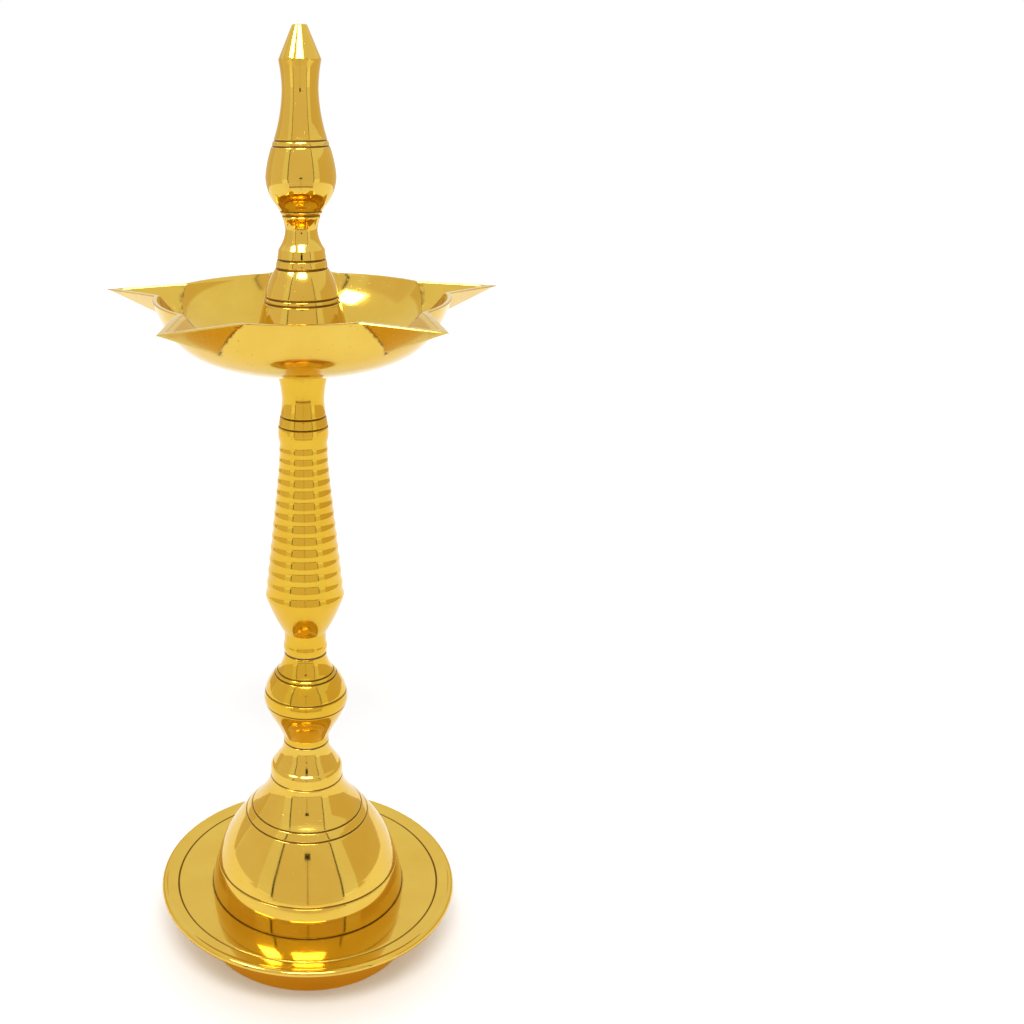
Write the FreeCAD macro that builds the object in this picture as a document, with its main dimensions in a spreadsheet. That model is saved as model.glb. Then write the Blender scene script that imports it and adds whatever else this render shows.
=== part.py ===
"""Standing brass oil lamp with five wick beaks, as a parametric FreeCAD document.

Every section is turned about one upright axis, so each is a Body whose outline is a
sketch on its XZ plane, revolved about Z. X in a sketch is the radius and Y the height
above the section's own seat. The body's Placement puts that seat at its real height.
Origin: on the lamp's axis, in the plane that the foot ring stands on. +Z is up.
A gap between two beaks faces -Y and one beak points along +Y. Millimetres throughout.
"""
import FreeCAD, Part
import math
import os
import Sketcher

UP = FreeCAD.Vector(0, 0, 1)
TOUCHING = 1e-7

# Driving dimensions. Heights that end in _z are above the table.
SIZES = {
    # where each section is seated
    "bell_z": 21.9, "knop_z": 90.0, "column_z": 130.0, "tray_z": 245.7, "finial_z": 249.0,
    # base
    "foot_radius": 44.6, "rim_radius": 62.1, "rim_z": 23.9, "bell_hole_radius": 34.0,
    "bell_foot_radius": 40.4, "bell_lip_radius": 37.7, "bell_shoulder_radius": 35.8,
    "bell_height": 67.5, "base_neck_radius": 9.2, "casting_wall": 3.0,
    # stem
    "knop_height": 39.4, "knop_radius": 16.9, "stem_neck_radius": 8.4,
    "column_height": 114.9, "hip_radius": 15.45, "hip_height": 25.5, "waist_radius": 9.2,
    "waist_height": 79.7, "flute_count": 14, "flutes_top": 87.9, "flute_depth": 0.33,
    # tray
    "tray_radius": 53.4, "tray_depth": 25.6, "tray_wall": 1.65, "tray_floor": 2.5,
    "beak_radius": 80.5, "beak_count": 5, "beak_keel_slope": 0.395, "beak_spread": 0.505,
    "first_beak_angle": 90.0,
    # finial
    "finial_height": 112.5, "finial_foot_radius": 19.1, "collar_top_radius": 14.36,
    "flame_radius": 12.45, "tip_radius": 2.6,
    # screwed joints
    "stud_radius": 5.0, "top_stud_radius": 4.0, "running_clearance": 0.05,
    "engagement": 9.6, "bore_depth": 12.0, "seat_washer": 0.6, "tray_seat_washer": 0.8,
    # engraved lines
    "line_width": 0.8, "line_depth": 0.4,
}

doc = FreeCAD.newDocument("standing_oil_lamp")
sheet = doc.addObject("Spreadsheet::Sheet", "dims")
for row, (alias, number) in enumerate(SIZES.items(), start=1):
    sheet.set("A%d" % row, alias)
    sheet.set("B%d" % row, str(number))
    sheet.setAlias("B%d" % row, alias)
doc.recompute()


# ---- sizes written as sums, such as "rim_z - 1.1" ----

def signed_words(size):
    """Split a sum into its words, each with the sign that stands before it."""
    sign = 1
    for word in str(size).split():
        if word in ("+", "-"):
            sign = 1 if word == "+" else -1
        else:
            yield sign, word


def value(size):
    """The number that a sum of aliases and plain numbers comes to."""
    return sum(sign * (sheet.get(word) if word in SIZES else float(word)) for sign, word in signed_words(size))


def formula(size):
    """The same sum as an expression on the sheet, or None for a plain number."""
    words = list(signed_words(size))
    if not any(word in SIZES for sign, word in words):
        return None
    named = [("dims." + word if word in SIZES else word) for sign, word in words]
    signs = ["+ " if sign > 0 else "- " for sign, word in words]
    return " ".join(sign + name for sign, name in zip(signs, named)).removeprefix("+ ")


# ---- sketches ----

def origin_feature(body, role):
    return next(feature for feature in body.Origin.OriginFeatures if feature.Role == role)


def new_sketch(body, name, role, offset=0.0):
    """A sketch on one of the body's own origin planes, moved along the plane's normal."""
    sketch = body.newObject("Sketcher::SketchObject", name)
    sketch.AttachmentSupport = (origin_feature(body, role), "")
    sketch.MapMode = "FlatFace"
    sketch.AttachmentOffset = FreeCAD.Placement(UP * offset, FreeCAD.Rotation())
    return sketch


def outline_edge(start, end, bulge):
    """Line from start to end, or an arc whose middle stands `bulge` to the right of that line."""
    if not bulge:
        return Part.LineSegment(start, end)
    along = end - start
    right = FreeCAD.Vector(along.y, -along.x, 0).normalize()
    return Part.Arc(start, (start + end) * 0.5 + right * bulge, end)


def end_at(sketch, edge, corner):
    """Which end of an edge, 1 or 2, lies at a corner. The sketch stores some arcs reversed."""
    return 1 if (sketch.getPoint(edge, 1) - corner).Length < (sketch.getPoint(edge, 2) - corner).Length else 2


def hold_corner(sketch, edge, end, point):
    """Hold a corner at its x and y from the sketch's origin, bound to the sheet where named."""
    for kind, size, axis in (("DistanceX", point[0], -2), ("DistanceY", point[1], -1)):
        if abs(value(size)) < TOUCHING:
            sketch.addConstraint(Sketcher.Constraint("PointOnObject", edge, end, axis))
            continue
        index = sketch.addConstraint(Sketcher.Constraint(kind, -1, 1, edge, end, value(size)))
        if formula(size):
            sketch.setExpression("Constraints[%d]" % index, formula(size))


def closed_outline(sketch, points):
    """Draw a closed outline anticlockwise, so that a positive bulge stands outward.

    Each point is (x, y), or (x, y, bulge) where an arc leads to it from the point before.
    """
    corners = [FreeCAD.Vector(value(point[0]), value(point[1]), 0) for point in points]
    bulges = [point[2] if len(point) > 2 else 0 for point in points]
    edges = [sketch.addGeometry(outline_edge(corners[i - 1], corners[i], bulges[i]), False)
             for i in range(len(points))]
    for i, edge in enumerate(edges):
        following = edges[(i + 1) % len(edges)]
        end = end_at(sketch, edge, corners[i])
        sketch.addConstraint(Sketcher.Constraint(
            "Coincident", edge, end, following, end_at(sketch, following, corners[i])))
        if bulges[i]:
            sketch.addConstraint(Sketcher.Constraint("Radius", edge, sketch.Geometry[edge].Radius))
        hold_corner(sketch, edge, end, points[i])


# ---- features ----

def new_body(name, height):
    """A Body named for its piece, with its own zero at the given height."""
    body = doc.addObject("PartDesign::Body", name)
    body.Label = name
    body.Placement.Base = UP * value(height)
    if formula(height):
        body.setExpression("Placement.Base.z", formula(height))
    return body


def revolve(body, name, outline, kind="PartDesign::Revolution"):
    """Turn an outline about the body's Z axis, to add metal or, as a Groove, to take it away."""
    sketch = new_sketch(body, name + "_outline", "XZ_Plane")
    closed_outline(sketch, outline)
    feature = body.newObject(kind, name)
    feature.Profile = sketch
    feature.ReferenceAxis = (sketch, ["V_Axis"])
    feature.Angle = 360.0
    doc.recompute()


def cut(body, name, outline):
    """A revolved cut, which has to take metal away."""
    before = body.Shape.Volume
    revolve(body, name, outline, "PartDesign::Groove")
    if body.Shape.Volume > before - 0.01:
        raise RuntimeError(name + " cuts nothing")


def bore(body, name, radius, bottom, top):
    cut(body, name, [(0, bottom), (radius, bottom), (radius, top), (0, top)])


def engrave(body, name, lines):
    """V-shaped lines round the body: radius, height and how far the surface leans up from level."""
    half = value("line_width") / 2
    depth = value("line_depth")
    for number, (radius, height, lean) in enumerate(lines):
        out_x = math.cos(math.radians(lean))
        out_y = math.sin(math.radians(lean))
        mouth = [(radius + out_x * 0.2 + out_y * side, height + out_y * 0.2 - out_x * side)
                 for side in (-half, half)]
        cut(body, "%s_%d" % (name, number), [(radius - out_x * depth, height - out_y * depth), mouth[1], mouth[0]])


def tap(body, height, radius):
    """Blind hole down from the top seat that a stud screws into."""
    bottom = height + " - engagement - 1.2"
    bore(body, body.Name + "_tapping", radius + " + running_clearance", bottom, height + " + 1")


def stud(name, height, radius, hanging):
    """A screwed stud, fixed in the section above and hanging below that section's seat."""
    body = new_body(name, height)
    foot = "- " + hanging.replace(" + ", " - ")
    revolve(body, name + "_turned", [
        (0, foot),
        (radius + " - 0.8", foot),
        (radius, foot + " + 0.8"),
        (radius, "bore_depth - 0.5"),
        (0, "bore_depth - 0.5"),
    ])
    return body


def washer(name, height, hole, radius, thickness):
    body = new_body(name, height)
    bottom = "- " + thickness
    revolve(body, name + "_ring", [(hole, bottom), (radius, bottom), (radius, 0), (hole, 0)])
    return body


# ---- the pieces, from the table up ----

def make_base_dish():
    """Cast dish on a foot ring, hollow below, with a hole for the bell's spigot."""
    body = new_body("base_dish", 0)
    revolve(body, "dish_casting", [
        ("bell_hole_radius", "bell_z"),
        ("bell_hole_radius", "bell_z - casting_wall"),
        (55.0, 19.6),
        (47.4, 12.6, -0.5),
        (41.0, 0, -0.5),
        ("foot_radius", 0),
        (50.6, 12.0, -0.5),
        (51.4, 13.6, 0.2),
        (60.4, "rim_z - 3.4", -0.4),
        ("rim_radius", "rim_z - 1.5", 0.35),
        (60.6, "rim_z", 0.45),
        (59.6, "rim_z - 0.4", 0.05),
        ("bell_foot_radius", "bell_z"),
    ])
    engrave(body, "dish_line", [(55.0, 23.09, 94.4)])
    return body


def make_base_bell():
    """Hollow bell with a spigot below and a tapped neck above."""
    body = new_body("base_bell", "bell_z")
    revolve(body, "bell_casting", [
        (0, 50.5),
        (10.5, 50.5),
        (13.6, 42.0, 0.4),
        (21.4, 32.2, 0.6),
        (27.6, 23.6, -0.3),
        (31.2, 16.4, -0.9),
        (31.9, 6.5),
        ("bell_hole_radius - casting_wall", 0),
        ("bell_hole_radius - casting_wall", "- casting_wall"),
        ("bell_hole_radius", "- casting_wall"),
        ("bell_hole_radius", 0),
        ("bell_foot_radius", 0),
        (39.2, 7.4, 0.05),
        ("bell_lip_radius", 12.4, 0.06),
        ("bell_shoulder_radius", 17.8, 0.08),
        (32.8, 24.0, 0.15),
        (22.9, 37.6, 0.35),
        (16.3, 46.4, -0.45),
        (14.86, 51.7, -0.25),
        (14.65, 55.4, -0.05),
        (13.41, 57.7, 0.3),
        (10.3, 62.6, 0.05),
        ("base_neck_radius", "bell_height", -0.25),
        (0, "bell_height"),
    ])
    tap(body, "bell_height", "stud_radius")
    engrave(body, "bell_line", [(37.7, 12.4, 16), (25.4, 34.6, 38), (22.9, 37.6, 38), (14.86, 51.7, 12)])
    return body


def make_knop():
    """Ball-shaped section of the stem, with a stud hole below and a tapped hole above."""
    body = new_body("knop", "knop_z")
    revolve(body, "knop_turned", [
        (0, 0),
        ("base_neck_radius", 0),
        ("base_neck_radius", 2.6),
        (13.0, 10.0, -0.1),
        (16.5, 17.7, 0.2),
        ("knop_radius", 20.0, 0.05),
        (14.63, 27.4, 0.35),
        (10.6, 32.7, 0.1),
        ("stem_neck_radius", "knop_height", -0.45),
        (0, "knop_height"),
    ])
    bore(body, "knop_stud_hole", "stud_radius", -1, "bore_depth")
    tap(body, "knop_height", "stud_radius")
    engrave(body, "knop_line", [(11.4, 31.9, 40), (12.5, 30.5, 40), (16.35, 22.9, 20), (16.45, 17.6, -20)])
    return body


def flute_ridges():
    """Ridges between the flutes, from above the hip to above the waist, closing up as they rise.

    They lie on a straight taper that eases into the waist.
    """
    count = int(value("flute_count"))
    bottom = value("hip_height")
    rise = value("flutes_top") - bottom
    taper = (value("hip_radius") - value("waist_radius")) / (value("waist_height") - bottom)
    for number in range(1, count + 1):
        share = number / count
        height = bottom + rise * share * (1.13 - 0.13 * share)
        above_waist = taper * (value("waist_height") - height)
        yield value("waist_radius") + (above_waist + math.hypot(above_waist, 0.55)) / 2, height


def make_ribbed_column():
    """Tapering column: bead, cone, hip, fluted taper, plain band and neck."""
    body = new_body("ribbed_column", "column_z")
    flutes = [(radius, height, -value("flute_depth")) for radius, height in flute_ridges()]
    revolve(body, "column_turned", [
        (0, 0),
        ("stem_neck_radius", 0),
        ("stem_neck_radius", 1.0),
        ("stem_neck_radius", 3.8, 0.3),
        (8.5, 9.1, -0.2),
        (14.9, 22.9, 0.4),
        ("hip_radius", "hip_height", 0.1),
        *flutes,
        (9.54, 90.2, 0.05),
        (9.36, 93.2),
        (8.62, 97.0),
        (7.9, 102.9, -0.12),
        (9.0, 111.0, -0.25),
        (9.3, "column_height"),
        (0, "column_height"),
    ])
    bore(body, "column_stud_hole", "stud_radius", -1, "bore_depth")
    tap(body, "column_height", "top_stud_radius")
    engrave(body, "column_line", [(9.36, 93.2, 6), (8.62, 97.0, 8)])
    return body


def beak_wedge(body, name, kind, tip, top, near, far):
    """V-shaped wedge between two upright triangles, tapering to a point `tip` from the axis."""
    slope = value("beak_keel_slope")
    spread = value("beak_spread")
    sections = []
    for label, distance in (("near", near), ("far", far)):
        sketch = new_sketch(body, "%s_%s" % (name, label), "YZ_Plane", distance)
        reach = tip - distance
        closed_outline(sketch, [(0, top - slope * reach), (spread * reach, top), (-spread * reach, top)])
        sections.append(sketch)
    loft = body.newObject(kind, name)
    loft.Profile = sections[0]
    loft.Sections = [sections[1]]
    loft.Ruled = True
    doc.recompute()
    return loft


def around_axis(body, name, feature):
    """Repeat a beak's feature evenly round the bowl."""
    pattern = body.newObject("PartDesign::PolarPattern", name)
    pattern.Originals = [feature]
    pattern.Axis = (origin_feature(body, "Z_Axis"), [""])
    pattern.Angle = 360.0
    pattern.setExpression("Occurrences", "dims.beak_count")
    body.Tip = pattern
    doc.recompute()


def make_oil_tray():
    """Round bowl with five V-shaped beaks, each a wedge with a thinner wedge taken out of it."""
    body = new_body("oil_tray", "tray_z")
    body.Placement.Rotation = FreeCAD.Rotation(UP, value("first_beak_angle"))
    revolve(body, "bowl_outside", [
        (0, 0),
        (9.6, 0),
        (28.6, 1.9, 0.3),
        (41.0, 6.9, 0.55),
        (46.8, 12.1, 0.3),
        ("tray_radius", "tray_depth", 0.85),
        (0, "tray_depth"),
    ])
    top = value("tray_depth")
    tip = value("beak_radius")
    wedge = beak_wedge(body, "beak", "PartDesign::AdditiveLoft", tip, top, 40.0, tip - 1.0)
    around_axis(body, "beaks", wedge)
    cut(body, "bowl_inside", [
        (0, "tray_floor"),
        (19.6, "tray_floor"),
        (27.0, 4.1, 0.15),
        (39.3, 8.8, 0.45),
        (45.4, 13.5, 0.25),
        ("tray_radius - tray_wall", "tray_depth", 0.8),
        ("tray_radius - tray_wall", "tray_depth + 2"),
        (0, "tray_depth + 2"),
    ])
    # The channel's faces are parallel to the beak's, one wall thickness in, and run on above the rim.
    lean = math.hypot(value("beak_keel_slope"), value("beak_spread"))
    set_back = value("tray_wall") * math.hypot(1, lean / (value("beak_keel_slope") * value("beak_spread")))
    above = 4.0
    channel_tip = tip - set_back + above / value("beak_keel_slope")
    channel = beak_wedge(body, "channel", "PartDesign::SubtractiveLoft",
                         channel_tip, top + above, 43.0, channel_tip - 3.0)
    around_axis(body, "channels", channel)
    cut(body, "beak_droop", [
        ("tray_radius + 1", "tray_depth"),
        ("beak_radius + 1", "tray_depth - 1.2"),
        ("beak_radius + 1", "tray_depth + 1"),
        ("tray_radius + 1", "tray_depth + 1"),
    ])
    bore(body, "tray_hole", "top_stud_radius + running_clearance", -1, "tray_floor + 1")
    return body


def make_finial():
    """Bell-footed finial with a flame-shaped top, bored for its stud."""
    body = new_body("finial", "finial_z")
    revolve(body, "finial_turned", [
        (0, 0),
        ("finial_foot_radius", 0),
        ("collar_top_radius", 18.1),
        (13.97, 19.4),
        (9.3, 32.4, 0.7),
        (9.2, 33.6),
        (8.3, 38.8, -0.1),
        (5.71, 45.6, -0.55),
        (8.5, 53.4, -0.45),
        ("flame_radius", 63.5, 0.95),
        (9.0, 76.6, 0.55),
        (6.27, 92.0, -0.55),
        (7.3, 101.5, -0.24),
        ("tip_radius", "finial_height - 0.3"),
        ("tip_radius - 0.5", "finial_height", 0.1),
        (0, "finial_height"),
    ])
    bore(body, "finial_stud_hole", "top_stud_radius", -1, "bore_depth")
    engrave(body, "bell_line", [(13.75, 20.4, 14), (13.35, 22.2, 16), (9.35, 32.3, 24), (8.85, 35.4, 9)])
    engrave(body, "flame_line", [(7.0, 50.4, -27), (7.7, 51.9, -29), (10.0, 73.8, 19), (9.35, 75.7, 18)])
    return body


def make_pieces():
    hole = "stud_radius + running_clearance"
    top_hole = "top_stud_radius + running_clearance"
    return [
        make_base_dish(),
        make_base_bell(),
        washer("knop_washer", "knop_z", hole, "base_neck_radius - 0.2", "seat_washer"),
        make_knop(),
        stud("knop_stud", "knop_z", "stud_radius", "seat_washer + engagement"),
        washer("column_washer", "column_z", hole, "stem_neck_radius - 0.2", "seat_washer"),
        make_ribbed_column(),
        stud("column_stud", "column_z", "stud_radius", "seat_washer + engagement"),
        washer("tray_washer", "tray_z", top_hole, 9.1, "tray_seat_washer"),
        make_oil_tray(),
        washer("finial_washer", "finial_z", top_hole, "finial_foot_radius - 0.5", "tray_seat_washer"),
        make_finial(),
        stud("finial_stud", "finial_z", "top_stud_radius",
             "tray_seat_washer + tray_floor + tray_seat_washer + engagement"),
    ]


def check(pieces):
    """Stop if any object failed to build or any piece is not one sound solid."""
    for item in doc.Objects:
        if "Invalid" in item.State or "Error" in item.State:
            raise RuntimeError("%s is in state %s" % (item.Name, item.State))
    for piece in pieces:
        if piece.Shape.isNull() or not piece.Shape.isValid() or len(piece.Shape.Solids) != 1:
            raise RuntimeError(piece.Label + " is not one sound solid")


pieces = make_pieces()
doc.recompute()
check(pieces)
os.makedirs("parts", exist_ok=True)
for piece in pieces:
    piece.Shape.exportStep("parts/%s.step" % piece.Label)
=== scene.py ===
"""Standing brass oil lamp: turned sections, beaked oil tray, threaded studs and leather washers.

Sizes are in millimetres until a mesh is made, and heights within a piece are above its own seat.
"""

import math

import bpy
import numpy as np
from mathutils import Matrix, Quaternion, Vector


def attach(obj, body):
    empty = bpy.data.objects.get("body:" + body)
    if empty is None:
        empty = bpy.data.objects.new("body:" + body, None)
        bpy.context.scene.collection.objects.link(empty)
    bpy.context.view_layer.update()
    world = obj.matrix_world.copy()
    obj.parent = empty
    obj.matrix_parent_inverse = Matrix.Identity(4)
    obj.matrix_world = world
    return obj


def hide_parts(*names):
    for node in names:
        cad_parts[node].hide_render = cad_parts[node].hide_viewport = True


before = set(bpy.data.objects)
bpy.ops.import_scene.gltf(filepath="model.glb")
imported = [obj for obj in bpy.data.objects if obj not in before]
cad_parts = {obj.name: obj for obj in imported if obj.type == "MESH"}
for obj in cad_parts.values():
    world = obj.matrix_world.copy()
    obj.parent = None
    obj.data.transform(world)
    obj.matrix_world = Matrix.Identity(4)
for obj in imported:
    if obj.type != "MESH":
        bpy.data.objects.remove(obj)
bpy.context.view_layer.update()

MM = 0.001

# Heights of the pieces that carry others, the leather between them, and the seats that follow.
DISH_TOP, BELL_HEIGHT, KNOP_HEIGHT, COLUMN_HEIGHT, TRAY_FLOOR = 21.9, 67.5, 39.4, 114.9, 2.5
WASHER, TRAY_WASHER = 0.6, 0.8
KNOP_SEAT = DISH_TOP + BELL_HEIGHT + WASHER
COLUMN_SEAT = KNOP_SEAT + KNOP_HEIGHT + WASHER
TRAY_SEAT = COLUMN_HEIGHT + TRAY_WASHER + COLUMN_SEAT
FINIAL_SEAT = TRAY_SEAT + TRAY_FLOOR + TRAY_WASHER

# Radii of the necks, the bell's spigot and the studs, and how far the spigot and studs reach.
NECK, STEM_NECK, SPIGOT, SPIGOT_DEPTH = 9.2, 8.4, 34.0, 3.0
STUD, TOP_STUD, CLEARANCE = 5.0, 4.0, 0.05
ENGAGEMENT, SHANK, BORE_DEPTH, TAP_DEPTH, PITCH = 9.6, 11.5, 12.0, 10.8, 1.5


# ---- outlines ----

# Spacing of an outline's samples, and the rounding of an engraved line's edges.
SAMPLE, TOOL_EDGE = 0.05, 0.07


def trace(points, closed):
    """Even samples along an outline. A point is (x, y), or (x, y, bulge) at the end of an arc
    whose middle stands `bulge` to the right of the straight way."""
    track = [points[0][:2]]
    legs = list(zip(points, points[1:])) + ([(points[-1], points[0])] if closed else [])
    for start, end in legs:
        (x0, y0), (x1, y1) = start[:2], end[:2]
        chord = math.hypot(x1 - x0, y1 - y0)
        bulge = end[2] if len(end) > 2 else 0.0
        half = 2 * math.atan2(2 * bulge, chord)
        radius = chord / (2 * math.sin(half)) if bulge else 0.0
        count = max(1, round(chord / SAMPLE))
        for i in range(1, count + 1):
            along, out = chord * i / count, 0.0
            if bulge:
                turn = half * (2 * i / count - 1)
                along = chord / 2 + radius * math.sin(turn)
                out = radius * (math.cos(turn) - math.cos(half))
            ux, uy = (x1 - x0) / chord, (y1 - y0) / chord
            track.append((x0 + ux * along + uy * out, y0 + uy * along - ux * out))
    return np.array(track[:-1] if closed else track)


def soften(track, amount, closed):
    """Rounds every corner by a blur that is `amount` millimetres wide."""
    reach = max(1, round(3 * amount / SAMPLE))
    weights = np.exp(-0.5 * (np.arange(-reach, reach + 1) * SAMPLE / amount) ** 2)
    weights /= weights.sum()
    if closed:
        before, after = track[-reach:], track[:reach]
    else:
        before = 2 * track[0] - track[reach:0:-1]
        after = 2 * track[-1] - track[-2:-reach - 2:-1]
    padded = np.concatenate([before, track, after])
    return np.stack([np.convolve(padded[:, axis], weights, "valid") for axis in (0, 1)], axis=1)


def normals_of(track, closed):
    """Unit normals to the right of the way along the track."""
    if closed:
        along = np.roll(track, -1, axis=0) - np.roll(track, 1, axis=0)
    else:
        along = np.gradient(track, axis=0)
    along /= np.maximum(np.linalg.norm(along, axis=1, keepdims=True), 1e-9)
    return np.stack([along[:, 1], -along[:, 0]], axis=1)


def engrave(track, lines, closed, width=0.85, depth=0.42):
    """Cuts V-shaped lines at the given (x, y) places and returns how far into one each sample is.
    A third number of 0 marks a seam, which holds dirt but isn't cut."""
    normals = normals_of(track, closed)
    cut = np.zeros(len(track))
    dirty = np.zeros(len(track))
    for x, y, *share in lines:
        away = np.hypot(track[:, 0] - x, track[:, 1] - y)
        nearest = int(away.argmin())
        gap = np.linalg.norm(track - track[nearest], axis=1)
        groove = np.clip(1 - gap / (width / 2), 0, 1)
        cut = np.maximum(cut, groove * (share[0] if share else 1))
        dirty = np.maximum(dirty, groove)
    return track - normals * (cut * depth)[:, None], dirty


def thin_out(track, tolerance=0.004, longest=1.2):
    """Indices of the samples worth keeping: none further than `tolerance` from the straight way."""
    keep = [0]
    start = 0
    for end in range(2, len(track)):
        run = track[end] - track[start]
        length = np.hypot(*run)
        between = track[start + 1:end] - track[start]
        off = np.abs(run[0] * between[:, 1] - run[1] * between[:, 0]).max() / max(length, 1e-9)
        if off > tolerance or length > longest:
            start = end - 1
            keep.append(start)
    keep.append(len(track) - 1)
    return np.array(keep)


# ---- meshes ----

def point(radius, angle, height):
    """A mesh point in metres, from its distance to the lamp's axis, its angle and its height."""
    return radius * math.cos(angle) * MM, radius * math.sin(angle) * MM, height * MM


def ring_faces(rows, columns, closed):
    """Quads between neighbouring rings of points, and from the last ring to the first if closed."""
    faces = []
    for row in range(rows if closed else rows - 1):
        low, high = row * columns, (row + 1) % rows * columns
        for i in range(columns):
            j = (i + 1) % columns
            faces.append((low + i, low + j, high + j, high + i))
    return faces


def finish_mesh(name, verts, faces, wear=None, normals=None):
    """Makes an object. `wear` is how much dirt each point holds, from 0 to 1."""
    mesh = bpy.data.meshes.new(name)
    mesh.from_pydata(verts, [], faces)
    mesh.validate()
    mesh.shade_smooth()
    if wear is not None:
        attribute = mesh.attributes.new("wear", "FLOAT", "POINT")
        attribute.data.foreach_set("value", np.asarray(wear, float))
    if normals is not None:
        mesh.normals_split_custom_set_from_vertices(normals)
    obj = bpy.data.objects.new(name, mesh)
    bpy.context.scene.collection.objects.link(obj)
    return obj


def spin(track, segments, lift=0.0):
    """Carries (distance, height) pairs round the axis, as points in the track's own units."""
    angles = np.arange(segments) * 2 * math.pi / segments
    across = np.outer(track[:, 0], np.cos(angles)), np.outer(track[:, 0], np.sin(angles))
    up = np.repeat(track[:, 1:] + lift, segments, axis=1)
    return np.stack([*across, up], axis=2).reshape(-1, 3)


def lathe(seat, outline, lines, soft, closed, segments):
    """Points, faces, wear and normals of a shape turned on a lathe."""
    track = soften(trace(outline, closed), soft, closed)
    if not closed:
        track[[0, -1], 0] = 0.0
    track, cut = engrave(track, lines, closed)
    track = soften(track, TOOL_EDGE, closed)
    if not closed:
        track[[0, -1], 0] = 0.0
    side = normals_of(track, closed)
    keep = thin_out(track)
    track, side, cut = track[keep], side[keep], cut[keep]
    rows = len(track)
    faces = ring_faces(rows, segments, closed)
    if not closed:
        # On the axis a ring is a single point, so the quads there are triangles.
        last = (rows - 1) * segments
        faces[:segments] = [(0, c, d) for _, _, c, d in faces[:segments]]
        faces[-segments:] = [(a, b, last) for a, b, _, _ in faces[-segments:]]
    verts = spin(track, segments, seat) * MM
    return verts.tolist(), faces, np.repeat(cut, segments), spin(side, segments).tolist()


def turned(name, seat, outline, lines=(), soft=0.12, closed=False, segments=256):
    """A piece turned on a lathe. An open outline starts and ends on the axis."""
    return finish_mesh(name, *lathe(seat, outline, lines, soft, closed, segments))


# ---- studs ----

THREAD_DEPTH, THREAD_STEPS = 0.55 * PITCH, 64
THREAD_FADE_IN, THREAD_FADE_OUT, TIP_TAPER = 1.2, 0.8, 0.6


def thread_radius(radius, core, below_top, above_tip):
    """Fades the thread in above the stud's tip and out below its top, and tapers the tip."""
    fade_in = min(1.0, max(0.0, above_tip / THREAD_FADE_IN))
    fade_out = min(1.0, max(0.0, below_top / THREAD_FADE_OUT))
    taper = min(TIP_TAPER, max(0.0, TIP_TAPER - above_tip))
    return core + (radius - core) * fade_in * fade_out - taper / 2


def threaded_stud(name, seat, radius, hanging):
    """Stud with a helical V thread below its section's seat and a plain shank inside it."""
    core, crest = radius - THREAD_DEPTH, radius - 0.02
    tip, top, end = seat - hanging, seat - 0.1, seat + SHANK
    shank = [(0, tip), (core - 0.5, tip), (core - 0.05, tip + 0.5), (core - 0.05, top - 0.3),
             (radius, top), (radius, end), (0, end)]
    verts, faces, *_ = lathe(0.0, shank, lines=(), soft=0.06, closed=False, segments=96)

    ridge = [(0.0, core), (0.12, core), (0.44, crest), (0.56, crest), (0.88, core)]
    total = (int((top - tip) / PITCH) + 2) * THREAD_STEPS
    first, across = len(verts), len(ridge)
    for step in range(total + 1):
        for share, r in ridge:
            z = tip - PITCH + step * PITCH / THREAD_STEPS + share * PITCH
            r = thread_radius(r, core, top - z, z - tip)
            verts.append(point(r, 2 * math.pi * step / THREAD_STEPS, min(max(z, tip), top)))
    for step in range(total):
        start = first + step * across
        faces += [(a, a + across, a + across + 1, a + 1) for a in range(start, start + across - 1)]
        if step + THREAD_STEPS < total:
            a, up = start + across - 1, start + THREAD_STEPS * across
            faces.append((a, a + across, up + across, up))
    obj = finish_mesh(name, verts, faces, [0.0] * len(verts))
    obj.data.set_sharp_from_angle(angle=math.radians(40))
    return obj


# ---- turned pieces ----

def stud_bore(stud):
    """Start of an outline: the blind bore that a section's own stud is soldered into."""
    return [(0, BORE_DEPTH), (stud, BORE_DEPTH), (stud, 0)]


def tapped_hole(stud, height):
    """End of an outline: the hole that the stud of the section above screws into."""
    hole, bottom = stud + CLEARANCE, height - TAP_DEPTH
    return [(hole, height), (hole, bottom), (0, bottom)]


def make_base_dish():
    """Cast dish with a rolled rim on a foot ring, hollow below, with a hole for the bell's spigot."""
    outline = [(SPIGOT, DISH_TOP), (SPIGOT, DISH_TOP - SPIGOT_DEPTH), (55.0, 19.6), (47.4, 12.6, -0.5),
               (41.0, 0, -0.5), (44.6, 0), (50.6, 12.0, -0.5), (51.4, 13.6, 0.2), (60.4, 20.5, -0.4),
               (62.1, 22.4, 0.35), (60.6, 23.9, 0.45), (59.6, 23.5, 0.05), (40.4, DISH_TOP)]
    lines = [(55.0, 23.12), (40.4, DISH_TOP, 0)]
    return turned("dish", 0.0, outline, lines, closed=True, segments=320)


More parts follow.
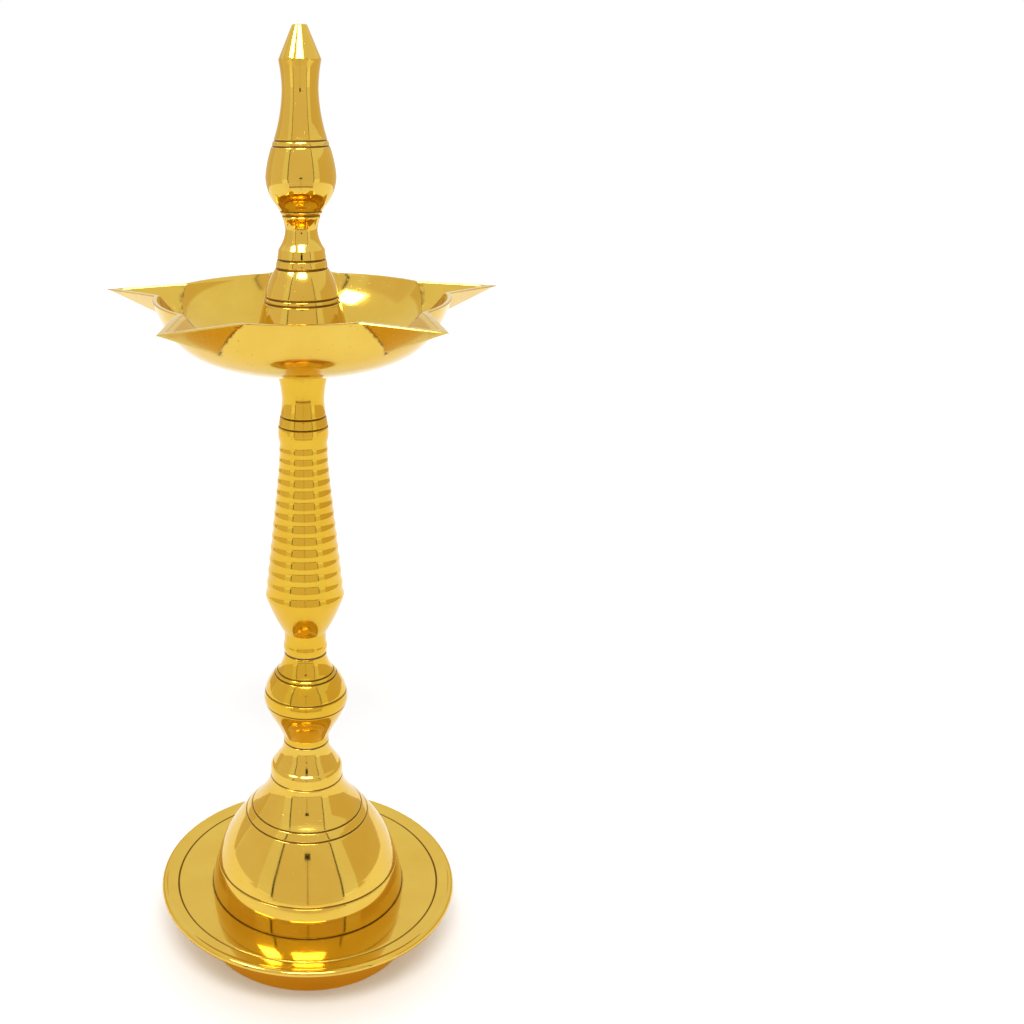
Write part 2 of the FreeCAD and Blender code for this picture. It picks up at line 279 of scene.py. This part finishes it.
def make_base_bell():
    """Hollow bell with a spigot below and a tapped neck above."""
    hollow = [(0, 50.5), (10.5, 50.5), (13.6, 42.0, 0.4), (21.4, 32.2, 0.6), (27.6, 23.6, -0.3),
              (31.2, 16.4, -0.9), (31.9, 6.5), (31.0, 0), (31.0, -SPIGOT_DEPTH)]
    wall = [(SPIGOT, -SPIGOT_DEPTH), (SPIGOT, 0), (40.4, 0), (39.2, 7.4, 0.05), (37.7, 12.4, 0.06),
            (35.8, 17.8, 0.08), (32.8, 24.0, 0.15), (22.9, 37.6, 0.35), (16.3, 46.4, -0.45)]
    neck = [(14.86, 51.7, -0.25), (14.65, 55.4, -0.05), (13.41, 57.7, 0.3), (10.3, 62.6, 0.05),
            (NECK, BELL_HEIGHT, -0.25)]
    lines = [(40.4, 0, 0), (37.7, 12.4), (25.4, 34.6), (22.9, 37.6), (14.86, 51.7)]
    outline = hollow + wall + neck + tapped_hole(STUD, BELL_HEIGHT)
    return turned("bell", DISH_TOP, outline, lines, segments=288)


def make_knop():
    """Ball between two necks, with four engraved lines."""
    ball = [(NECK, 0), (NECK, 2.6), (13.0, 10.0, -0.1), (16.5, 17.7, 0.2), (16.9, 20.0, 0.05),
            (14.63, 27.4, 0.35), (10.6, 32.7, 0.1), (STEM_NECK, KNOP_HEIGHT, -0.45)]
    lines = [(11.4, 31.9), (12.5, 30.5), (16.35, 22.9), (16.45, 17.6)]
    outline = stud_bore(STUD) + ball + tapped_hole(STUD, KNOP_HEIGHT)
    return turned("knop_ball", KNOP_SEAT, outline, lines, segments=192)


def flute_ridges(hip, waist, top, count=14, crowding=0.13, easing=0.55):
    """Ridges on a straight taper that eases into the waist, closing up as they rise."""
    taper = (hip[0] - waist[0]) / (waist[1] - hip[1])
    for number in range(1, count + 1):
        share = number / count
        height = hip[1] + (top - hip[1]) * share * (1 + crowding - crowding * share)
        above_waist = taper * (waist[1] - height)
        yield waist[0] + (above_waist + math.hypot(above_waist, easing)) / 2, height


def make_ribbed_column():
    """Cone, fluted taper and plain band below a neck that flares to carry the tray."""
    hip, waist, flute_depth = (15.45, 25.5), (9.2, 79.7), 0.33
    cone = [(STEM_NECK, 0), (STEM_NECK, 1.0), (STEM_NECK, 3.8, 0.3), (8.5, 9.1, -0.2),
            (14.9, 22.9, 0.4), (*hip, 0.1)]
    flutes = [(*ridge, -flute_depth) for ridge in flute_ridges(hip, waist, 87.9)]
    neck = [(9.54, 90.2, 0.05), (9.36, 93.2), (8.62, 97.0), (7.9, 102.9, -0.12), (9.0, 111.0, -0.25),
            (9.3, COLUMN_HEIGHT)]
    lines = [(9.36, 93.2), (8.62, 97.0)]
    outline = stud_bore(STUD) + cone + flutes + neck + tapped_hole(TOP_STUD, COLUMN_HEIGHT)
    return turned("column", COLUMN_SEAT, outline, lines, soft=0.25, segments=192)


def make_finial():
    """Bell-shaped foot that clamps the tray, and a flame above it."""
    foot = [(19.1, 0), (14.36, 18.1), (13.97, 19.4), (9.3, 32.4, 0.7), (9.2, 33.6)]
    flame = [(8.3, 38.8, -0.1), (5.71, 45.6, -0.55), (8.5, 53.4, -0.45), (12.45, 63.5, 0.95),
             (9.0, 76.6, 0.55), (6.27, 92.0, -0.55), (7.3, 101.5, -0.24), (2.6, 112.2),
             (2.1, 112.5, 0.1), (0, 112.5)]
    lines = [(13.75, 20.4), (13.35, 22.2), (9.35, 32.3), (8.85, 35.4), (7.0, 50.4), (7.7, 51.9),
             (10.0, 73.8), (9.35, 75.7)]
    outline = stud_bore(TOP_STUD) + foot + flame
    return turned("finial_flame", FINIAL_SEAT, outline, lines, segments=192)


def make_washer(name, seat, stud, radius, thickness):
    """Leather ring round a stud, pressed a little thinner in the middle than at its edge."""
    hole = stud + CLEARANCE
    outline = [(hole, -thickness), (radius, -thickness, -0.03), (radius, 0, thickness * 0.2),
               (hole, 0, -0.03)]
    return turned(name, seat, outline, soft=0.1, closed=True, segments=128)


# ---- oil tray ----

TRAY_TOP, TRAY_WALL, RIM, LIP, HOLE_EDGE = 25.6, 1.65, 53.4, 0.34, 0.3
BEAKS, FIRST_BEAK = 5, math.radians(90)

# A beak's keel rises by KEEL_SLOPE and its walls spread by SPREAD for each millimetre of length,
# its edge drops by DROOP, and the inside's beak is set back so that its wall is TRAY_WALL thick.
BEAK_TIP, KEEL_SLOPE, SPREAD = 80.5, 0.395, 0.505
DROOP = 1.2 / (BEAK_TIP - RIM)
SET_BACK = TRAY_WALL * math.hypot(1, math.hypot(KEEL_SLOPE, SPREAD) / (KEEL_SLOPE * SPREAD))
BLUNT_OUTSIDE, BLUNT_INSIDE = 0.003, 0.004

BEAK_COLUMNS, BOWL_COLUMNS, LEAST_CORNER = 10, 22, 0.004
CREASE_WEAR, CREASE_WIDTH, RIM_WEAR = 0.5, 0.9, 0.15


def half_share(corner):
    """Angles over half a beak's share of a ring: close together at the keel, even along the bowl."""
    beak = [corner * (k / BEAK_COLUMNS) ** 1.5 for k in range(BEAK_COLUMNS + 1)]
    arc = math.pi / BEAKS - corner
    return beak + [corner + arc * k / BOWL_COLUMNS for k in range(1, BOWL_COLUMNS + 1)]


def plain_row(radius, height):
    """Half a beak's share of a ring that stays round, as (angle, radius, height, wear)."""
    return [(angle, radius, height, 0.0) for angle in half_share(LEAST_CORNER)]


def beaked_row(radius, height, tip, blunt, foot):
    """Half a beak's share of a ring that leaves the bowl above `foot` to follow the beak out.

    `tip` is how far out the beak's keel comes up to the tray's top, and `blunt` rounds the keel.
    The ring's height falls with the beak's drooping edge, and its wear is highest at the crease.
    """
    if height <= foot:
        return plain_row(radius, height)
    reach = tip - (TRAY_TOP - height) / KEEL_SLOPE
    lean = math.atan(SPREAD)
    corner = max(math.asin(min(1.0, math.sin(lean) * reach / radius)) - lean, LEAST_CORNER)
    row = []
    for angle in half_share(corner):
        r, z = radius, height
        if angle < corner:
            across = math.sqrt(math.sin(angle) ** 2 + blunt ** 2)
            share = SPREAD / (across + SPREAD * math.cos(angle))
            drop = max(0.0, DROOP * (share * tip - RIM - 1.0)) / (1 + DROOP * share / KEEL_SLOPE)
            z = foot + (height - foot) * (TRAY_TOP - drop - foot) / (TRAY_TOP - foot)
            r = max(radius, share * (tip - (TRAY_TOP - z) / KEEL_SLOPE))
        crease = CREASE_WEAR * math.exp(-abs(angle - corner) * radius / CREASE_WIDTH)
        row.append((angle, r, z, crease))
    return row


def beak_foot(track, tip):
    """Height at which a beak's keel meets the bowl."""
    reach = tip - (TRAY_TOP - track[:, 1]) / KEEL_SLOPE
    return float(track[np.abs(reach - track[:, 0]).argmin(), 1])


def below_lip(track):
    """The outline's samples worth keeping, up to where the rim's rounding starts."""
    kept = track[thin_out(track, tolerance=0.003, longest=0.8)]
    return [(r, z) for r, z in kept if z < TRAY_TOP - LIP]


def lip_rows(outer_edge, inner_edge):
    """The rounded rim, from the outside's top ring over to the inside's.

    The profile is (share of the way across the wall, depth below the two edges).
    """
    profile = [(0.0, LIP), (0.06, LIP * 0.32), (0.2, 0.0), (0.5, -0.02), (0.8, 0.0),
               (0.94, LIP * 0.32), (1.0, LIP)]
    rows = []
    for share, down in profile:
        row = []
        for (a0, r0, z0, _), (a1, r1, z1, _) in zip(outer_edge, inner_edge):
            x = (1 - share) * r0 * math.cos(a0) + share * r1 * math.cos(a1)
            y = (1 - share) * r0 * math.sin(a0) + share * r1 * math.sin(a1)
            z = (1 - share) * z0 + share * z1 - down
            row.append((math.atan2(y, x), math.hypot(x, y), z, RIM_WEAR))
        rows.append(row)
    return rows


def make_oil_tray():
    """Bowl and beaks as rings of points: under the bowl, over the rim, and down inside."""
    hole = TOP_STUD + CLEARANCE
    outside = [(9.6, 0), (28.6, 1.9, 0.3), (41.0, 6.9, 0.55), (46.8, 12.1, 0.3), (RIM, TRAY_TOP, 0.85)]
    inside = [(RIM - TRAY_WALL, TRAY_TOP), (45.4, 13.5, -0.8), (39.3, 8.8, -0.25), (27.0, 4.1, -0.45),
              (19.6, TRAY_FLOOR, -0.15), (18.0, TRAY_FLOOR)]
    outer, inner = (soften(trace(outline, closed=False), amount=0.3, closed=False)
                    for outline in (outside, inside))
    inner_tip = BEAK_TIP - SET_BACK
    outer_beak = (BEAK_TIP, BLUNT_OUTSIDE, beak_foot(outer, BEAK_TIP))
    inner_beak = (inner_tip, BLUNT_INSIDE, beak_foot(inner, inner_tip))

    rows = [plain_row(hole, HOLE_EDGE)]
    rows += [plain_row(radius, 0.0) for radius in (hole + HOLE_EDGE, 6.0, 9.0)]
    rows += [beaked_row(r, z, *outer_beak) for r, z in below_lip(outer)]
    rows += lip_rows(beaked_row(RIM, TRAY_TOP, *outer_beak),
                     beaked_row(RIM - TRAY_WALL, TRAY_TOP, *inner_beak))
    rows += [beaked_row(r, z, *inner_beak) for r, z in below_lip(inner)]
    rows += [plain_row(radius, TRAY_FLOOR) for radius in (12.0, hole + HOLE_EDGE)]
    rows.append(plain_row(hole, TRAY_FLOOR - HOLE_EDGE))

    verts, wear = [], []
    for row in rows:
        share = [(-angle, *rest) for angle, *rest in reversed(row[1:-1])] + row
        for beak in range(BEAKS):
            centre = FIRST_BEAK + beak * 2 * math.pi / BEAKS
            for angle, radius, height, crease in share:
                verts.append(point(radius, centre + angle, height + TRAY_SEAT))
                wear.append(crease)
    columns = len(verts) // len(rows)
    obj = finish_mesh("tray_bowl", verts, ring_faces(len(rows), columns, closed=True), wear)
    obj.data.set_sharp_from_angle(angle=math.radians(28))
    return obj


# ---- materials ----

GRIME = (0.11, 0.055, 0.013, 1.0)


def new_material(name):
    """A material with its node tree and its shader."""
    material = bpy.data.materials.new(name)
    material.use_nodes = True
    tree = material.node_tree
    return material, tree, tree.nodes["Principled BSDF"]


def feed(tree, given, socket):
    """Links another node's output to a socket, or sets the socket to a number or colour."""
    if isinstance(given, bpy.types.NodeSocket):
        tree.links.new(given, socket)
    else:
        socket.default_value = given


def noise(tree, coords, scale, stretch=(1, 1, 1), detail=3.0):
    """Noise with about `scale` cells to the metre, fewer along an axis whose `stretch` is under 1."""
    mapping = tree.nodes.new("ShaderNodeMapping")
    mapping.inputs["Scale"].default_value = stretch
    tree.links.new(coords, mapping.inputs["Vector"])
    texture = tree.nodes.new("ShaderNodeTexNoise")
    texture.inputs["Scale"].default_value = scale
    texture.inputs["Detail"].default_value = detail
    tree.links.new(mapping.outputs["Vector"], texture.inputs["Vector"])
    return texture.outputs["Fac"]


def remap(tree, source, low, high, to_low, to_high):
    """Stretches the range from `low` to `high` onto another, and keeps within it."""
    node = tree.nodes.new("ShaderNodeMapRange")
    limits = {"From Min": low, "From Max": high, "To Min": to_low, "To Max": to_high}
    for socket, number in limits.items():
        node.inputs[socket].default_value = number
    tree.links.new(source, node.inputs["Value"])
    return node.outputs["Result"]


def maths(tree, operation, a, b):
    node = tree.nodes.new("ShaderNodeMath")
    node.operation = operation
    feed(tree, a, node.inputs[0])
    feed(tree, b, node.inputs[1])
    return node.outputs["Value"]


def mix_colour(tree, factor, a, b):
    node = tree.nodes.new("ShaderNodeMix")
    node.data_type = "RGBA"
    tree.links.new(factor, node.inputs["Factor"])
    feed(tree, a, node.inputs["A"])
    feed(tree, b, node.inputs["B"])
    return node.outputs["Result"]


def bump(tree, height, distance, normal=None):
    """Relief that stands up to `distance` metres, on top of another node's normal if given."""
    node = tree.nodes.new("ShaderNodeBump")
    node.inputs["Distance"].default_value = distance
    node.inputs["Strength"].default_value = 1.0
    tree.links.new(height, node.inputs["Height"])
    if normal is not None:
        tree.links.new(normal, node.inputs["Normal"])
    return node.outputs["Normal"]


def brass(name, colour, deep, roughness, ring_bump, wave_bump, pits, patchy):
    """Polished brass: lathe rings, hand-polishing waves, hairlines, and dirt in lines and creases.

    Bumps are in metres. `pits` raises the number of dark specks, and `patchy` is how much dirt
    is left where a crease is cleanest.
    """
    material, tree, shader = new_material(name)
    coords = tree.nodes.new("ShaderNodeTexCoord").outputs["Object"]
    clouds = noise(tree, coords, 45.0, detail=4.0)
    rings = noise(tree, coords, 900.0, (0.004, 0.004, 1.0), 2.0)
    waves = noise(tree, coords, 90.0, (1, 1, 0.6), 1.0)
    hairlines = noise(tree, coords, 2600.0, (0.05, 0.05, 1.0), 3.0)
    specks = noise(tree, coords, 1500.0, detail=1.0)
    blotches = noise(tree, coords, 420.0, detail=4.0)
    wear = tree.nodes.new("ShaderNodeAttribute")
    wear.attribute_name = "wear"

    dirt = maths(tree, "MULTIPLY", wear.outputs["Fac"], remap(tree, blotches, 0.35, 0.62, patchy, 1.0))
    dirt = remap(tree, dirt, 0.12, 0.5, 0.0, 0.85)
    speck = remap(tree, specks, 0.745 - pits, 0.80 - pits, 0.0, 0.55)
    soiled = maths(tree, "MAXIMUM", dirt, speck)

    tone = remap(tree, clouds, 0.3, 0.7, 0.0, 1.0)
    stained = mix_colour(tree, soiled, mix_colour(tree, tone, colour, deep), GRIME)
    tree.links.new(stained, shader.inputs["Base Color"])
    shader.inputs["Metallic"].default_value = 1.0
    rough = remap(tree, clouds, 0.3, 0.7, roughness * 0.75, roughness * 1.35)
    rough = maths(tree, "ADD", rough, maths(tree, "MULTIPLY", soiled, 0.35))
    tree.links.new(rough, shader.inputs["Roughness"])

    relief = bump(tree, waves, wave_bump)
    relief = bump(tree, rings, ring_bump, relief)
    relief = bump(tree, hairlines, ring_bump * 0.12, relief)
    relief = bump(tree, soiled, -0.00004, relief)
    tree.links.new(relief, shader.inputs["Normal"])
    return material


def leather(name):
    """Dark waxed leather with a pebbled grain."""
    material, tree, shader = new_material(name)
    coords = tree.nodes.new("ShaderNodeTexCoord").outputs["Object"]
    grain = tree.nodes.new("ShaderNodeTexVoronoi")
    grain.inputs["Scale"].default_value = 1400.0
    tree.links.new(coords, grain.inputs["Vector"])
    clouds = noise(tree, coords, 300.0, detail=4.0)
    colour = mix_colour(tree, clouds, (0.045, 0.020, 0.009, 1.0), (0.13, 0.062, 0.026, 1.0))
    tree.links.new(colour, shader.inputs["Base Color"])
    tree.links.new(remap(tree, clouds, 0.3, 0.7, 0.42, 0.68), shader.inputs["Roughness"])
    tree.links.new(bump(tree, grain.outputs["Distance"], 0.00012), shader.inputs["Normal"])
    return material


POLISHED = brass("polished_brass", (0.74, 0.50, 0.085, 1.0), (0.69, 0.44, 0.062, 1.0),
                 roughness=0.075, ring_bump=2.2e-6, wave_bump=16e-6, pits=0.0, patchy=0.8)
STEM = brass("stem_brass", (0.71, 0.45, 0.045, 1.0), (0.66, 0.39, 0.030, 1.0),
             roughness=0.08, ring_bump=2.6e-6, wave_bump=18e-6, pits=0.0, patchy=0.8)
CAST = brass("cast_tray_brass", (0.74, 0.51, 0.09, 1.0), (0.68, 0.43, 0.06, 1.0),
             roughness=0.10, ring_bump=3.0e-6, wave_bump=24e-6, pits=0.015, patchy=0.15)
STUD_METAL = brass("stud_brass", (0.60, 0.40, 0.10, 1.0), (0.45, 0.28, 0.07, 1.0),
                   roughness=0.24, ring_bump=5.0e-6, wave_bump=10e-6, pits=0.03, patchy=0.5)
LEATHER = leather("waxed_leather")


# ---- the lamp ----

def place(obj, material, body, node):
    """Finishes a piece and puts it on its body in place of its CAD node."""
    obj.data.materials.append(material)
    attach(obj, body)
    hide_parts(node)


place(make_base_dish(), POLISHED, "base", "base_dish")
place(make_base_bell(), POLISHED, "base", "base_bell")
place(make_knop(), STEM, "knop_section", "knop")
place(make_ribbed_column(), STEM, "column_section", "ribbed_column")
place(make_oil_tray(), CAST, "tray", "oil_tray")
place(make_finial(), POLISHED, "finial_section", "finial")

through_washer = WASHER + ENGAGEMENT
through_tray = TRAY_WASHER + TRAY_FLOOR + TRAY_WASHER + ENGAGEMENT
for name, seat, stud, hanging, body, node in (
        ("knop_thread", KNOP_SEAT, STUD, through_washer, "knop_section", "knop_stud"),
        ("column_thread", COLUMN_SEAT, STUD, through_washer, "column_section", "column_stud"),
        ("finial_thread", FINIAL_SEAT, TOP_STUD, through_tray, "finial_section", "finial_stud")):
    place(threaded_stud(name, seat, stud, hanging), STUD_METAL, body, node)

for name, seat, stud, radius, thickness, body, node in (
        ("knop_leather", KNOP_SEAT, STUD, NECK - 0.2, WASHER, "knop_seat", "knop_washer"),
        ("column_leather", COLUMN_SEAT, STUD, STEM_NECK - 0.2, WASHER, "column_seat", "column_washer"),
        ("tray_leather", TRAY_SEAT, TOP_STUD, 9.1, TRAY_WASHER, "column_section", "tray_washer"),
        ("finial_leather", FINIAL_SEAT, TOP_STUD, 18.6, TRAY_WASHER, "finial_seat", "finial_washer")):
    washer = make_washer(name, seat, stud, radius, thickness)
    place(washer, LEATHER, body, node)


# ---- studio ----

WHITE = (1.0, 1.0, 1.0, 1.0)
CREAM = (1.0, 0.92, 0.86, 1.0)
WARM = (1.0, 0.85, 0.60, 1.0)
CARD_CENTRE, CLOTH_HEIGHT = 0.2, 0.0005
SHEET_COLUMNS, CARD_ROWS = 12, 6


def glowing(name, strength, colour):
    """A material that only gives off light."""
    material = bpy.data.materials.new(name)
    material.use_nodes = True
    nodes, links = material.node_tree.nodes, material.node_tree.links
    nodes.clear()
    emission = nodes.new("ShaderNodeEmission")
    emission.inputs["Color"].default_value = colour
    emission.inputs["Strength"].default_value = strength
    links.new(emission.outputs["Emission"], nodes.new("ShaderNodeOutputMaterial").inputs["Surface"])
    return material


def glowing_sheet(name, azimuths, rings, strength, colour, lights=False):
    """A sheet round the lamp's front, seen only in the brass unless it lights the scene too.

    It spans `azimuths`, in degrees round from the front, and `rings` are the (distance, height)
    of its rows, in metres.
    """
    verts = []
    for distance, height in rings:
        for i in range(SHEET_COLUMNS + 1):
            azimuth = math.radians(azimuths[0] + (azimuths[1] - azimuths[0]) * i / SHEET_COLUMNS)
            verts.append((distance * math.sin(azimuth), -distance * math.cos(azimuth), height))
    across = SHEET_COLUMNS + 1
    faces = []
    for row in range(len(rings) - 1):
        for a in range(row * across, row * across + SHEET_COLUMNS):
            faces.append((a, a + 1, a + across + 1, a + across))
    obj = finish_mesh(name, verts, faces)
    obj.data.materials.append(glowing(name + "_light", strength, colour))
    obj.visible_camera = False
    obj.visible_shadow = False
    obj.visible_diffuse = lights


def card(name, azimuths, elevations, distance, strength, colour=WHITE, lights=False):
    """A curved card or softbox facing the lamp, between two elevations in degrees."""
    rings = []
    for j in range(CARD_ROWS + 1):
        elevation = elevations[0] + (elevations[1] - elevations[0]) * j / CARD_ROWS
        rings.append((distance, CARD_CENTRE + distance * math.tan(math.radians(elevation))))
    glowing_sheet(name, azimuths, rings, strength, colour, lights)


def tabletop(name, azimuths, distances, strength, colour):
    """A sheet lying on the table in front of the lamp."""
    glowing_sheet(name, azimuths, [(distance, CLOTH_HEIGHT) for distance in distances], strength, colour)


scene = bpy.context.scene
scene.view_settings.view_transform = "Standard"
world = bpy.data.worlds.new("studio")
world.use_nodes = True
world.node_tree.nodes["Background"].inputs["Color"].default_value = WHITE
world.node_tree.nodes["Background"].inputs["Strength"].default_value = 1.0
scene.world = world

# The floor's paper glows a little more with distance, so that it fades into the white surround.
bpy.ops.mesh.primitive_plane_add(size=12.0, location=(0, 0, 0))
floor = bpy.context.object
floor.name = "floor"
paper, tree, shader = new_material("white_paper")
shader.inputs["Base Color"].default_value = (0.86, 0.86, 0.86, 1.0)
shader.inputs["Roughness"].default_value = 0.7
shader.inputs["Emission Color"].default_value = WHITE
away = tree.nodes.new("ShaderNodeVectorMath")
away.operation = "LENGTH"
tree.links.new(tree.nodes.new("ShaderNodeNewGeometry").outputs["Position"], away.inputs[0])
glow = remap(tree, away.outputs["Value"], 0.25, 1.6, 0.03, 0.35)
tree.links.new(glow, shader.inputs["Emission Strength"])
floor.data.materials.append(paper)

card("main_softbox", (-23, 23), (47, 62), 0.75, 18.0, lights=True)
card("left_softbox", (-72, -46), (45, 60), 0.9, 20.0)
card("front_card", (-41, 41), (-10, 42), 1.1, 0.92, CREAM)
card("front_card_left_edge", (-43.5, -41), (-10, 44), 1.1, 0.05)
card("front_card_right_edge", (41, 43), (-10, 44), 1.1, 0.05)
card("left_card", (-110, -62), (-10, 38), 1.1, 0.92, CREAM)
card("left_wall", (-165, -112), (-10, 25), 1.2, 0.85, WARM)
card("right_wall", (62, 165), (-10, 25), 1.2, 0.85, WARM)
card("camera_body", (-4.5, 4.5), (16, 20.5), 0.45, 0.02)
card("camera_stand", (-0.6, 0.6), (-22, 16), 0.45, 0.42, (1.0, 0.8, 0.5, 1.0))
tabletop("front_cloth", (-41, 41), (0.7, 1.1), 0.92, CREAM)
tabletop("cloth_edge", (-41, 41), (0.62, 0.7), 0.3, (1.0, 0.6, 0.2, 1.0))
tabletop("warm_shade", (-180, 180), (0.0, 0.068), 0.62, (1.0, 0.5, 0.06, 1.0))

# The camera is near the lamp and looks down on it, and its shift frames the lamp left of the middle.
DOWN, ROLL = math.radians(20.2), math.radians(-0.55)
camera_data = bpy.data.cameras.new("camera")
camera_data.lens = 42.23
camera_data.sensor_width = 36.0
camera_data.shift_x = 0.203
camera = bpy.data.objects.new("camera", camera_data)
scene.collection.objects.link(camera)
camera.location = (0.0, -0.431, 0.34715)
camera.rotation_mode = "QUATERNION"
aim = Vector((0, math.cos(DOWN), -math.sin(DOWN)))
camera.rotation_quaternion = aim.to_track_quat("-Z", "Y") @ Quaternion((0, 0, 1), ROLL)
scene.camera = camera
